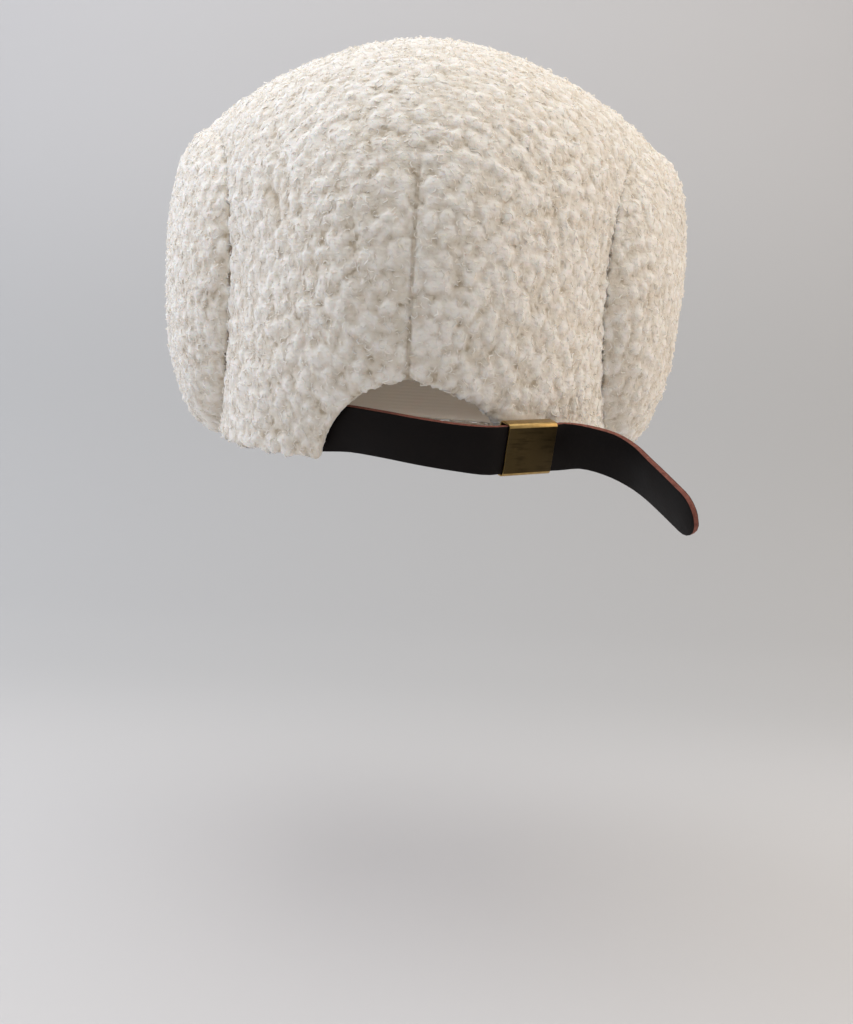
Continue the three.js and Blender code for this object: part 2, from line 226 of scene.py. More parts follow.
wool = add_node(
    tree, "ShaderNodeTexNoise",
    {"Vector": place.outputs["Object"], "Scale": 1 / WOOL_TUFT, "Detail": 4.0, "Roughness": 0.65,
     "Distortion": 0.6})
bump = add_node(
    tree, "ShaderNodeBump",
    {"Strength": cover.outputs["Fac"], "Distance": 0.5 * MM, "Height": wool.outputs["Fac"],
     "Normal": ribbed.outputs["Normal"]})
tree.links.new(colour.outputs[2], shader.inputs["Base Color"])
tree.links.new(bump.outputs["Normal"], shader.inputs["Normal"])
shader.inputs["Roughness"].default_value = 0.95
shader.inputs["Specular IOR Level"].default_value = 0.15
shader.inputs["Sheen Weight"].default_value = 0.5
shader.inputs["Sheen Roughness"].default_value = 0.6
shader.inputs["Subsurface Weight"].default_value = 0.5
shader.inputs["Subsurface Radius"].default_value = RED_GREEN_BLUE_DEPTH
shader.inputs["Subsurface Scale"].default_value = LIGHT_DEPTH
print("made", ground.name)

# %% [markdown]
# ## Leather
# The strap is full-grain leather, dyed black on its face and plated smooth, so it has a low soft gloss
# over a fine pebble. Its cut edges were left raw and show the reddish tanned fibre inside.
# One material with a mask could hold both, but two materials keep face and edge apart by their faces.
# The real pebble is about 0.4 mm, too fine to show, so it is drawn at 0.9 mm.

# %% Leather face and raw edge
PEBBLE = 0.9 * MM
HANDLED_PATCH = 9 * MM
EDGE_FIBRE = 1.5 * MM
leather, tree, shader = new_material("leather_full_grain_black_plated")
place = add_node(tree, "ShaderNodeTexCoord")
pebble = add_node(
    tree, "ShaderNodeTexVoronoi", {"Vector": place.outputs["Object"], "Scale": 1 / PEBBLE},
    feature="SMOOTH_F1")
handling = add_node(
    tree, "ShaderNodeTexNoise",
    {"Vector": place.outputs["Object"], "Scale": 1 / HANDLED_PATCH, "Detail": 4.0})
colour = add_node(
    tree, "ShaderNodeMix",
    {"Factor": handling.outputs["Fac"], 6: linear("#080606"), 7: linear("#150f0d")}, data_type="RGBA")
gloss = add_node(
    tree, "ShaderNodeMapRange", {"Value": handling.outputs["Fac"], "To Min": 0.42, "To Max": 0.6})
bump = add_node(
    tree, "ShaderNodeBump",
    {"Strength": 0.25, "Distance": 0.15 * MM, "Height": pebble.outputs["Distance"]})
tree.links.new(colour.outputs[2], shader.inputs["Base Color"])
tree.links.new(gloss.outputs["Result"], shader.inputs["Roughness"])
tree.links.new(bump.outputs["Normal"], shader.inputs["Normal"])
shader.inputs["Specular IOR Level"].default_value = 0.1

raw_edge, tree, shader = new_material("leather_cut_edge_raw_tanned")
place = add_node(tree, "ShaderNodeTexCoord")
fibre = add_node(
    tree, "ShaderNodeTexNoise",
    {"Vector": place.outputs["Object"], "Scale": 1 / EDGE_FIBRE, "Detail": 5.0, "Roughness": 0.7})
colour = add_node(tree, "ShaderNodeValToRGB", {"Fac": fibre.outputs["Fac"]})
colour.color_ramp.elements[0].position = 0.3
colour.color_ramp.elements[0].color = linear("#622f25")
colour.color_ramp.elements[1].position = 0.7
colour.color_ramp.elements[1].color = linear("#925848")
bump = add_node(
    tree, "ShaderNodeBump", {"Strength": 0.4, "Distance": 0.2 * MM, "Height": fibre.outputs["Fac"]})
tree.links.new(colour.outputs["Color"], shader.inputs["Base Color"])
tree.links.new(bump.outputs["Normal"], shader.inputs["Normal"])
shader.inputs["Roughness"].default_value = 0.85
print("made", leather.name, "and", raw_edge.name)

# %% [markdown]
# ## Antique brass
# The buckle is brass sheet that was darkened with a patina and rubbed back, so its face is a brown olive
# with faint brush lines, and its rounded edges are bright where the patina is worn off.
# Two materials on the same mesh, one for the faces and one for the edges, put the wear where hands rub.

# %% Antique brass
BRUSH_LINE = 0.7 * MM
BRUSH_STRETCH = (0.08, 0.08, 1.0)
PATINA_CLOUD = 6 * MM
RUBBED_CLOUD = 2 * MM
patina, tree, shader = new_material("brass_sheet_patinated_brushed")
place = add_node(tree, "ShaderNodeTexCoord")
brushed = add_node(
    tree, "ShaderNodeMapping", {"Vector": place.outputs["Object"], "Scale": BRUSH_STRETCH})
lines = add_node(
    tree, "ShaderNodeTexNoise",
    {"Vector": brushed.outputs["Vector"], "Scale": 1 / BRUSH_LINE, "Detail": 3.0})
clouds = add_node(
    tree, "ShaderNodeTexNoise",
    {"Vector": place.outputs["Object"], "Scale": 1 / PATINA_CLOUD, "Detail": 3.0})
both = add_node(
    tree, "ShaderNodeMath", {0: lines.outputs["Fac"], 1: clouds.outputs["Fac"]}, operation="ADD")
colour = add_node(tree, "ShaderNodeValToRGB", {"Fac": both.outputs[0]})
colour.color_ramp.elements[0].position = 0.6
colour.color_ramp.elements[0].color = linear("#2e2617")
colour.color_ramp.elements[1].position = 1.0
colour.color_ramp.elements[1].color = linear("#473b25")
rough = add_node(
    tree, "ShaderNodeMapRange", {"Value": lines.outputs["Fac"], "To Min": 0.32, "To Max": 0.5})
bump = add_node(
    tree, "ShaderNodeBump", {"Strength": 0.15, "Distance": 0.05 * MM, "Height": lines.outputs["Fac"]})
tree.links.new(colour.outputs["Color"], shader.inputs["Base Color"])
tree.links.new(rough.outputs["Result"], shader.inputs["Roughness"])
tree.links.new(bump.outputs["Normal"], shader.inputs["Normal"])
shader.inputs["Metallic"].default_value = 1.0

worn, tree, shader = new_material("brass_edge_rubbed_bright")
place = add_node(tree, "ShaderNodeTexCoord")
clouds = add_node(
    tree, "ShaderNodeTexNoise",
    {"Vector": place.outputs["Object"], "Scale": 1 / RUBBED_CLOUD, "Detail": 3.0})
colour = add_node(
    tree, "ShaderNodeMix",
    {"Factor": clouds.outputs["Fac"], 6: linear("#8c7040"), 7: linear("#c9aa70")}, data_type="RGBA")
tree.links.new(colour.outputs[2], shader.inputs["Base Color"])
shader.inputs["Metallic"].default_value = 1.0
shader.inputs["Roughness"].default_value = 0.34
print("made", patina.name, "and", worn.name)

# %% [markdown]
# ## Copying a piece of the frame
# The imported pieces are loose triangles, so a copy is merged and turned back to quads before it is shaped.
# Each piece could also be drawn anew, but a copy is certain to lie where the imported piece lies.
# The frame arrives selected, and operators act on all that is selected, so everything is deselected first.

# %% Copy helper
MERGE = 0.01 * MM
QUAD_ANGLE = math.radians(60)
SHARP = math.radians(50)


def only(piece):
    bpy.ops.object.select_all(action="DESELECT")
    piece.select_set(True)
    bpy.context.view_layer.objects.active = piece


def dressed_copy(node, name):
    only(frame["nodes"][node])
    bpy.ops.object.duplicate()
    piece = bpy.context.object
    piece.name = name
    piece.data.name = name
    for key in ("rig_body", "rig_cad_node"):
        if key in piece:
            del piece[key]
    piece.parent = None
    piece.data.materials.clear()
    bpy.ops.object.mode_set(mode="EDIT")
    bpy.ops.mesh.select_all(action="SELECT")
    bpy.ops.mesh.remove_doubles(threshold=MERGE)
    bpy.ops.mesh.tris_convert_to_quads(face_threshold=QUAD_ANGLE, shape_threshold=QUAD_ANGLE)
    bpy.ops.object.mode_set(mode="OBJECT")
    return piece


def apply_all(piece):
    only(piece)
    for modifier in list(piece.modifiers):
        bpy.ops.object.modifier_apply(modifier=modifier.name)


def triangles(piece):
    return sum(len(face.vertices) - 2 for face in piece.data.polygons)


print("copies merge points closer than", MERGE / MM, "mm")

# %% [markdown]
# ## Strap and tab
# The strap and the tab are flat bands cut from hide. Their raw edges are the narrow faces between the two
# broad ones. They could be picked by hand, but in code they are simply the faces with two opposite sides
# as long as the leather is thick. A bevel of about a quarter of a millimetre softens the cut corners.

# %% Strap and tab
STRAP_THICK = 2.2 * MM
TAB_THICK = 2.0 * MM
EDGE_SLACK = 0.06 * MM
BAND_BEVEL = 0.28 * MM
BAND_SMOOTH = math.radians(35)
FACE_SLOT, EDGE_SLOT = 0, 1


def bevelled(piece, width, segments, slot):
    bevel = piece.modifiers.new("bevel", "BEVEL")
    bevel.width = width
    bevel.segments = segments
    bevel.limit_method = "ANGLE"
    bevel.angle_limit = SHARP
    bevel.material = slot
    apply_all(piece)


def is_cut_edge(mesh, face, thick):
    corners = [mesh.vertices[i].co for i in face.vertices]
    sides = [(corners[i] - corners[i - 1]).length for i in range(len(corners))]
    through = [abs(side - thick) < EDGE_SLACK for side in sides]
    return len(sides) == 4 and (through[0] and through[2] or through[1] and through[3])


def leather_band(node, name, thick):
    piece = dressed_copy(node, name)
    piece.data.materials.append(leather)
    piece.data.materials.append(raw_edge)
    for face in piece.data.polygons:
        face.material_index = EDGE_SLOT if is_cut_edge(piece.data, face, thick) else FACE_SLOT
    bevelled(piece, BAND_BEVEL, segments=2, slot=FACE_SLOT)
    bpy.ops.object.shade_smooth_by_angle(angle=BAND_SMOOTH)
    return piece


strap = leather_band("strap", "leather_strap", STRAP_THICK)
tab = leather_band("buckle_tab", "leather_buckle_tab", TAB_THICK)
for band in (strap, tab):
    edges = sum(face.material_index for face in band.data.polygons)
    print(band.name, triangles(band), "triangles,", edges, "raw edge faces")

# %% [markdown]
# ## Slide buckle
# A flat sleeve of brass sheet. Its long rounded corners and the rims of its two mouths are rubbed bright.
# Wear could be painted by hand, but it follows the form: a bevel rounds the rims and brings its own worn
# faces, and the small faces that lie aslant to the sleeve's flats take the worn brass too.

# %% Slide buckle
BUCKLE_BEVEL = 0.22 * MM
BUCKLE_SMOOTH = math.radians(40)
FLAT_COSINE = 0.97
BROAD_SHARE = 0.5

buckle = dressed_copy("buckle", "brass_slide_buckle")
buckle.data.materials.append(patina)
buckle.data.materials.append(worn)
bevelled(buckle, BUCKLE_BEVEL, segments=3, slot=EDGE_SLOT)
broad = max(buckle.data.polygons, key=lambda face: face.area)
flat_normal = broad.normal.copy()
for face in buckle.data.polygons:
    if abs(face.normal.dot(flat_normal)) < FLAT_COSINE and face.area < broad.area * BROAD_SHARE:
        face.material_index = EDGE_SLOT
bpy.ops.object.shade_smooth_by_angle(angle=BUCKLE_SMOOTH)
print(buckle.name, triangles(buckle), "triangles")

# %% [markdown]
# ## Measuring a panel
# Four small tools serve all the cloth: a soft step between two values, the distance from each point to other
# pieces, a mesh as arrays of points and normals, and a way to store one number for each point.
# A loop over the points would say the same, but numpy moves a hundred thousand of them at once.

# %% Measuring tools
def smooth(low, high, value):
    share = np.clip((value - low) / (high - low), 0, 1)
    return share * share * (3 - 2 * share)


def distances(points, pieces):
    trees = [BVHTree.FromPolygons(
        [vertex.co for vertex in piece.data.vertices],
        [face.vertices[:] for face in piece.data.polygons]) for piece in pieces]
    return np.array([min(tree.find_nearest(Vector(point))[3] for tree in trees) for point in points])


def mesh_arrays(mesh):
    points = np.zeros(len(mesh.vertices) * 3, np.float32)
    normals = np.zeros(len(mesh.vertices) * 3, np.float32)
    mesh.vertices.foreach_get("co", points)
    mesh.vertices.foreach_get("normal", normals)
    return points.reshape(-1, 3).astype(float), normals.reshape(-1, 3).astype(float)


def write_attribute(mesh, name, values):
    layer = mesh.attributes.get(name) or mesh.attributes.new(name, "FLOAT", "POINT")
    layer.data.foreach_set("value", values.astype(np.float32))


print("halfway up a soft step:", float(smooth(0, 1, 0.5)))

# %% [markdown]
# ## Even cloth
# Each panel starts as a copy of its wall. Creased edges and a Subdivision Surface round the cut edges, which
# makes the soft valley of a sewn seam where two panels meet. The wall's faces are long in places, and lumps
# would stretch with them, so a voxel Remesh cuts it into even squares and a Smooth takes off their steps.
# Cutting the long faces by hand would leave steps between fine and coarse cloth. The inside needs few faces:
# the share of a face's normal that points away from the middle of the crown tells it, and Decimate thins it.

# %% Even cloth
CORE_BACK = 40 * MM
CORE_FRONT = -60 * MM
CORE_HEIGHT = 55 * MM
SOFT_LEVEL = 2
EDGE_CREASE = 0.7
FINE_SIZE = 1.18 * MM
RELAX_SHARE = 0.5
RELAX_ROUNDS = 4
INSIDE = -0.5
INSIDE_KEPT = 0.12
PANEL_NAMES = {
    "top_panel": "boucle_top_panel",
    "side_panel_left": "boucle_side_left",
    "side_panel_right": "boucle_side_right",
    "peak": "boucle_peak",
}


def facing_out(points, normals):
    core = points.copy()
    core[:, 0] = 0
    core[:, 1] = np.clip(points[:, 1], CORE_FRONT, CORE_BACK)
    core[:, 2] = CORE_HEIGHT
    outwards = points - core
    outwards /= np.linalg.norm(outwards, axis=1, keepdims=True)
    return outwards, (normals * outwards).sum(1)


def thin_inside(piece):
    only(piece)
    centres = np.array([face.center for face in piece.data.polygons])
    normals = np.array([face.normal for face in piece.data.polygons])
    _, facing = facing_out(centres, normals)
    bpy.ops.object.mode_set(mode="EDIT")
    bpy.ops.mesh.select_mode(type="FACE")
    bpy.ops.mesh.select_all(action="DESELECT")
    bpy.ops.object.mode_set(mode="OBJECT")
    piece.data.polygons.foreach_set("select", facing < INSIDE)
    bpy.ops.object.mode_set(mode="EDIT")
    bpy.ops.mesh.decimate(ratio=INSIDE_KEPT)
    bpy.ops.object.mode_set(mode="OBJECT")


def even_cloth(node, name):
    piece = dressed_copy(node, name)
    piece.data.materials.append(ground)
    bpy.ops.object.mode_set(mode="EDIT")
    bpy.ops.mesh.select_all(action="DESELECT")
    bpy.ops.mesh.select_mode(type="EDGE")
    bpy.ops.mesh.edges_select_sharp(sharpness=SHARP)
    bpy.ops.transform.edge_crease(value=EDGE_CREASE)
    bpy.ops.object.mode_set(mode="OBJECT")
    surface = piece.modifiers.new("soften", "SUBSURF")
    surface.levels = SOFT_LEVEL
    surface.render_levels = SOFT_LEVEL
    even = piece.modifiers.new("even", "REMESH")
    even.mode = "VOXEL"
    even.voxel_size = FINE_SIZE
    relax = piece.modifiers.new("relax", "SMOOTH")
    relax.factor = RELAX_SHARE
    relax.iterations = RELAX_ROUNDS
    apply_all(piece)
    return piece


panels = {}
for node, name in PANEL_NAMES.items():
    panels[node] = even_cloth(node, name)
    if node != "peak":
        thin_inside(panels[node])
    print(name, triangles(panels[node]), "triangles")
top, left, right, peak = panels.values()

# %% [markdown]
# ## Where the pile stands
# The pile covers the outside of the crown and all of the peak, so each point gets a share called cover:
# 1 where curls stand, 0 inside, on the turned hems and under the leather. It could be painted as a weight
# map, but the way a point faces and its distance to the leather say it exactly. Facing runs from 1,
# straight out, to -1, straight in, and each pair below gives the two values that cover rises between.

# %% Cover of each panel
PILE_FACING = (-0.6, -0.2)
HEM_FACING = (0.35, 0.7)
HEM_START = 18 * MM
HEM_END = 33 * MM
HEM_TOP = 25 * MM
HEM_FRONT = -70 * MM
LEATHER_ROOM = (0.6 * MM, 1.4 * MM)


def crown_cover(points, facing):
    in_notch = (points[:, 0] > HEM_START) & (points[:, 0] < HEM_END) & (points[:, 1] > 0)
    on_hem = (in_notch | (points[:, 1] < HEM_FRONT)) & (points[:, 2] < HEM_TOP)
    return smooth(*PILE_FACING, facing) * np.where(on_hem, smooth(*HEM_FACING, facing), 1)


def clear_of_leather(points):
    return smooth(*LEATHER_ROOM, distances(points, (strap, tab, buckle)))


print("bare cloth within", LEATHER_ROOM[0] / MM, "mm of the leather")

# %% [markdown]
# ## Seams, dart and crease
# Covered cloth sinks by the depth of the pile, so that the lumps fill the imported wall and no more. Cut edges
# are pressed towards their neighbours, as a seam presses them, and the peak's root is pressed to the crown.
# The sewn dart at the centre back and one soft crease beside it are pinched in with bell curves.
# Sculpt brushes could do this by hand, but formulas on the points give the same cloth on every run.

# %% Seams, dart and crease
PILE_DEPTH = 1.5 * MM
SEAM_PRESS = 0.6 * MM
EDGE_BEGINS = (-0.7, -0.2)
EDGE_ENDS = (0.3, 0.8)
PEAK_ROOT = (2.5 * MM, 7.5 * MM)
DART_TOP = 108 * MM
DART_FADE = 23 * MM
DART_WIDTH = 0.8 * MM
DART_DEPTH = 0.9 * MM
CREASE_ASIDE = 50.4 * MM
CREASE_HEIGHT = 86 * MM
CREASE_LEAN = 0.4
CREASE_WIDTH = 2.2 * MM
CREASE_LENGTH = 6.5 * MM
CREASE_DEPTH = 1.6 * MM
PINCH_FACING = 0.3


def pinched(points):
    on_back = points[:, 1] > 0
    below_top = 1 - smooth(DART_TOP - DART_FADE, DART_TOP, points[:, 2])
    dart = on_back * below_top * np.exp(-(points[:, 0] / DART_WIDTH) ** 2)
    up = points[:, 2] - CREASE_HEIGHT
    aside = points[:, 0] - CREASE_ASIDE - CREASE_LEAN * up
    crease = on_back * np.exp(-(aside / CREASE_WIDTH) ** 2 - (up / CREASE_LENGTH) ** 2)
    return dart, crease


def settle_cloth(piece, is_peak):
    only(piece)
    bpy.ops.object.shade_smooth()
    points, normals = mesh_arrays(piece.data)
    outwards, facing = facing_out(points, normals)
    cover = np.ones(len(points)) if is_peak else crown_cover(points, facing)
    cover *= clear_of_leather(points)
    if is_peak:
        free = smooth(*PEAK_ROOT, distances(points, [frame["nodes"]["top_panel"]]))
        points += normals * (SEAM_PRESS * (1 - free) - PILE_DEPTH * free)[:, None]
    else:
        points -= outwards * (PILE_DEPTH * cover * (facing > 0))[:, None]
        edge = smooth(*EDGE_BEGINS, facing) * (1 - smooth(*EDGE_ENDS, facing))
        points += normals * (SEAM_PRESS * edge)[:, None]
    dart, crease = pinched(points)
    pinch = (DART_DEPTH * dart + CREASE_DEPTH * crease) * (facing > PINCH_FACING)
    points -= outwards * pinch[:, None]
    piece.data.vertices.foreach_set("co", points.astype(np.float32).ravel())
    write_attribute(piece.data, "cover", cover)
    # Where the dart and the crease pinch in, no lumps stand, so the pile there takes its darkest colour as
    # painted shade.
    write_attribute(piece.data, "stand", cover * (1 - np.maximum(dart, crease)))
    piece.data.update()
    return cover.mean()


for panel in panels.values():
    share = settle_cloth(panel, panel is peak)
    print(panel.name, "has pile on", round(100 * share), "% of its points")

# %% [markdown]
# ## Lumps
# The curls of boucle gather in lumps of 3 to 6 mm with soft crevices between them. Displacement with an
# image would work, but a smooth Voronoi pattern on stirred coordinates gives rounded, uneven cells at once,
# and a finer noise curdles them. Geometry Nodes move each point outwards and store how high it stands,
# so that the materials can paint shade into the crevices.

# %% Raise the lumps
LUMP_SIZE = 5.2 * MM
LUMP_HEIGHT = 0.9 * MM
CURDLE_SIZE = 2.9 * MM
CURDLE_HEIGHT = 0.6 * MM
STIR_SIZE = 5 * MM
STIR = (4.4 * MM, 4.4 * MM, 4.4 * MM)
MIDDLE = (0.5, 0.5, 0.5)


def node_modifier(piece, name):
    tree = bpy.data.node_groups.new(name, "GeometryNodeTree")
    tree.interface.new_socket("Geometry", in_out="INPUT", socket_type="NodeSocketGeometry")
    tree.interface.new_socket("Geometry", in_out="OUTPUT", socket_type="NodeSocketGeometry")
    modifier = piece.modifiers.new(name, "NODES")
    modifier.node_group = tree
    start = add_node(tree, "NodeGroupInput")
    end = add_node(tree, "NodeGroupOutput")
    return tree, start.outputs["Geometry"], end.inputs["Geometry"]


def raise_lumps(piece):
    tree, start, end = node_modifier(piece, "lumps")
    place = add_node(tree, "GeometryNodeInputPosition")
    stir = add_node(
        tree, "ShaderNodeTexNoise", {"Vector": place.outputs[0], "Scale": 1 / STIR_SIZE, "Detail": 1.0})
    aside = add_node(
        tree, "ShaderNodeVectorMath", {0: stir.outputs["Color"], 1: MIDDLE}, operation="SUBTRACT")
    warped = add_node(
        tree, "ShaderNodeVectorMath",
        {0: aside.outputs[0], 1: STIR, 2: place.outputs[0]}, operation="MULTIPLY_ADD")
    cells = add_node(
        tree, "ShaderNodeTexVoronoi",
        {"Vector": warped.outputs[0], "Scale": 1 / LUMP_SIZE, "Smoothness": 0.4}, feature="SMOOTH_F1")
    lump = add_node(
        tree, "ShaderNodeMapRange",
        {"Value": cells.outputs["Distance"], "From Min": 0.1, "From Max": 0.7,
         "To Min": 1.0, "To Max": 0.0}, interpolation_type="SMOOTHSTEP")
    curdle = add_node(
        tree, "ShaderNodeTexNoise",
        {"Vector": warped.outputs[0], "Scale": 1 / CURDLE_SIZE, "Detail": 2.0, "Roughness": 0.55})
    fine = add_node(
        tree, "ShaderNodeMapRange",
        {"Value": curdle.outputs["Fac"], "From Min": 0.3, "From Max": 0.7},
        interpolation_type="SMOOTHSTEP")
    tall = add_node(
        tree, "ShaderNodeMath", {0: lump.outputs["Result"], 1: LUMP_HEIGHT}, operation="MULTIPLY")
    both = add_node(
        tree, "ShaderNodeMath", {0: fine.outputs["Result"], 1: CURDLE_HEIGHT, 2: tall.outputs[0]},
        operation="MULTIPLY_ADD")
    stand = add_node(tree, "GeometryNodeInputNamedAttribute", {"Name": "stand"}, data_type="FLOAT")
    reach = add_node(
        tree, "ShaderNodeMath", {0: both.outputs[0], 1: stand.outputs["Attribute"]}, operation="MULTIPLY")
    normal = add_node(tree, "GeometryNodeInputNormal")
    offset = add_node(
        tree, "ShaderNodeVectorMath",
        {0: normal.outputs[0], "Scale": reach.outputs[0]}, operation="SCALE")
    share = add_node(
        tree, "ShaderNodeMath",
        {0: reach.outputs[0], 1: LUMP_HEIGHT + CURDLE_HEIGHT}, operation="DIVIDE")
    stored = add_node(
        tree, "GeometryNodeStoreNamedAttribute",
        {"Geometry": start, "Name": "lump", "Value": share.outputs[0]},
        data_type="FLOAT", domain="POINT")
    moved = add_node(
        tree, "GeometryNodeSetPosition", {"Geometry": stored.outputs[0], "Offset": offset.outputs[0]})
    tree.links.new(moved.outputs[0], end)
    apply_all(piece)


for panel in panels.values():
    raise_lumps(panel)
print("lumps of", LUMP_SIZE / MM, "mm, up to", LUMP_HEIGHT / MM, "mm high")

# %% [markdown]
# ## Curls of yarn
# A curl is a short length of yarn that turns back on itself. It could be a curve with a bevel, but a small
# ring of three points, spun on from bend to bend, gives a closed tube of only about thirty triangles.
# Each row of a curl's table is one bend: its radius in millimetres, how far it turns and how far it leans,
# in degrees. Most of a curl is sunk in the cloth, and only its back stands out. It stays flat shaded,
# because smooth shading on so few sides leaves dark flecks.

# %% Model the curls
YARN_RADIUS = 0.2 * MM
YARN_SIDES = 3
STEP_TURN = 60
FEWEST_STEPS = 2
SUNK = 0.7
CURLS = {
    "curl_tall": [(0.9, 300, -55)],
    "curl_leaning": [(1.1, 290, -35)],
    "curl_low": [(1.3, 270, -15)],
    "curl_wave": [(1.1, 140, -30), (1.1, -150, -20)],
    "curl_coil": [(0.9, 190, -45), (1.1, 120, -10)],
}


def yarn_curl(name, bends):
    bpy.ops.object.select_all(action="DESELECT")
    bpy.ops.mesh.primitive_circle_add(
        vertices=YARN_SIDES, radius=YARN_RADIUS, fill_type="NGON", rotation=(0, math.pi / 2, 0))
    piece = bpy.context.object
    piece.name = name
    bpy.ops.object.transform_apply(rotation=True)
    bpy.ops.object.mode_set(mode="EDIT")
    bpy.ops.mesh.select_all(action="SELECT")
    place = Vector((0, 0, 0))
    heading = Vector((1, 0, 0))
    for radius, turn, lean in bends:
        side = Vector((0, 0, 1)).cross(heading).normalized()
        upright = heading.cross(side)
        axis = upright * math.cos(math.radians(lean)) + side * math.sin(math.radians(lean))
        axis = axis if turn > 0 else -axis
        angle = math.radians(abs(turn))
        centre = place + axis.cross(heading) * radius * MM
        steps = max(FEWEST_STEPS, round(abs(turn) / STEP_TURN))
        bpy.ops.mesh.spin(steps=steps, angle=-angle, center=centre, axis=axis)
        spin = Matrix.Rotation(angle, 3, axis)
        place = centre + spin @ (place - centre)
        heading = spin @ heading
    bpy.ops.mesh.select_all(action="SELECT")
    bpy.ops.mesh.normals_make_consistent(inside=False)
    bpy.ops.object.mode_set(mode="OBJECT")
    bpy.ops.object.shade_flat()
    points, _ = mesh_arrays(piece.data)
    points -= (points.min(0) + points.max(0)) / 2
    low, high = points[:, 2].min(), points[:, 2].max()
    points[:, 2] -= low + SUNK * (high - low)
    piece.data.vertices.foreach_set("co", points.astype(np.float32).ravel())
    write_attribute(piece.data, "rise", (points[:, 2] - points[:, 2].min()) / (high - low))
    piece.data.materials.append(yarn)
    piece.data.update()
    return piece


curl_box = bpy.data.collections.new("curls")
bpy.context.scene.collection.children.link(curl_box)
for name, bends in CURLS.items():
    curl = yarn_curl(name, bends)
    for owner in list(curl.users_collection):
        owner.objects.unlink(curl)
    curl_box.objects.link(curl)
    size = [round(value / MM, 1) for value in curl.dimensions]
    print(name, triangles(curl), "triangles,", size, "mm")

# %% [markdown]
# ## Sow the curls
# Sowing thousands of curls by hand would never end, and an array would show rows. Geometry Nodes scatter
# points that keep a distance from each other, put a curl on each with its own turn, lean and size,
# make the instances real and crumple them with a noise. The long top panel is sown in three stretches,
# to keep each mesh light.

# %% Scatter, turn and crumple
CURL_SPACING = 2.15 * MM
CURL_DENSITY = 600000.0
CURL_LEAN = 0.35
CURL_SIZES = (0.7, 1.2)
CRUMPLE_SIZE = 2.2 * MM
CRUMPLE = 1.8 * MM


def scattered_points(tree, start, seed, span):
    place = add_node(tree, "GeometryNodeInputPosition")
    parts = add_node(tree, "ShaderNodeSeparateXYZ", {"Vector": place.outputs[0]})
    after = add_node(
        tree, "FunctionNodeCompare", {0: parts.outputs["Y"], 1: span[0]}, operation="GREATER_EQUAL")
    before = add_node(
        tree, "FunctionNodeCompare", {0: parts.outputs["Y"], 1: span[1]}, operation="LESS_THAN")
    inside = add_node(
        tree, "FunctionNodeBooleanMath", {0: after.outputs[0], 1: before.outputs[0]}, operation="AND")
    stand = add_node(tree, "GeometryNodeInputNamedAttribute", {"Name": "stand"}, data_type="FLOAT")
    return add_node(
        tree, "GeometryNodeDistributePointsOnFaces",
        {"Mesh": start, "Selection": inside.outputs[0], "Distance Min": CURL_SPACING,
         "Density Max": CURL_DENSITY, "Density Factor": stand.outputs["Attribute"], "Seed": seed},
        distribute_method="POISSON")


def real_curls(tree, points, seed):
    turn = add_node(
        tree, "FunctionNodeRandomValue",
        {0: (-CURL_LEAN, -CURL_LEAN, 0.0), 1: (CURL_LEAN, CURL_LEAN, 2 * math.pi), "Seed": seed + 1},
        data_type="FLOAT_VECTOR")
    turned = add_node(
        tree, "FunctionNodeRotateRotation",
        {"Rotation": points.outputs["Rotation"], "Rotate By": turn.outputs[0]}, rotation_space="LOCAL")
    size = add_node(
        tree, "FunctionNodeRandomValue",
        {2: CURL_SIZES[0], 3: CURL_SIZES[1], "Seed": seed + 2}, data_type="FLOAT")
    box = add_node(
        tree, "GeometryNodeCollectionInfo",
        {"Collection": curl_box, "Separate Children": True, "Reset Children": True})
    curls = add_node(
        tree, "GeometryNodeInstanceOnPoints",
        {"Points": points.outputs["Points"], "Instance": box.outputs[0], "Pick Instance": True,
         "Rotation": turned.outputs[0], "Scale": size.outputs[1]})
    shade = add_node(
        tree, "FunctionNodeRandomValue", {2: 0.0, 3: 1.0, "Seed": seed + 3}, data_type="FLOAT")
    toned = add_node(
        tree, "GeometryNodeStoreNamedAttribute",
        {"Geometry": curls.outputs[0], "Name": "tone", "Value": shade.outputs[1]},
        data_type="FLOAT", domain="INSTANCE")
    return add_node(tree, "GeometryNodeRealizeInstances", {"Geometry": toned.outputs[0]})


def crumpled(tree, curls):
    place = add_node(tree, "GeometryNodeInputPosition")
    crumple = add_node(
        tree, "ShaderNodeTexNoise",
        {"Vector": place.outputs[0], "Scale": 1 / CRUMPLE_SIZE, "Detail": 1.0})
    aside = add_node(
        tree, "ShaderNodeVectorMath", {0: crumple.outputs["Color"], 1: MIDDLE}, operation="SUBTRACT")
    shift = add_node(
        tree, "ShaderNodeVectorMath", {0: aside.outputs[0], "Scale": CRUMPLE}, operation="SCALE")
    return add_node(
        tree, "GeometryNodeSetPosition", {"Geometry": curls.outputs[0], "Offset": shift.outputs[0]})


print("curls stand at least", CURL_SPACING / MM, "mm apart")

# %% [markdown]
# ## The fields of curls
# Each row is one field: its panel, its name, the seed of its random draws and the stretch of Y it covers.
# One field for all the cloth would be simpler, but a mesh of half a million triangles is slow to handle.

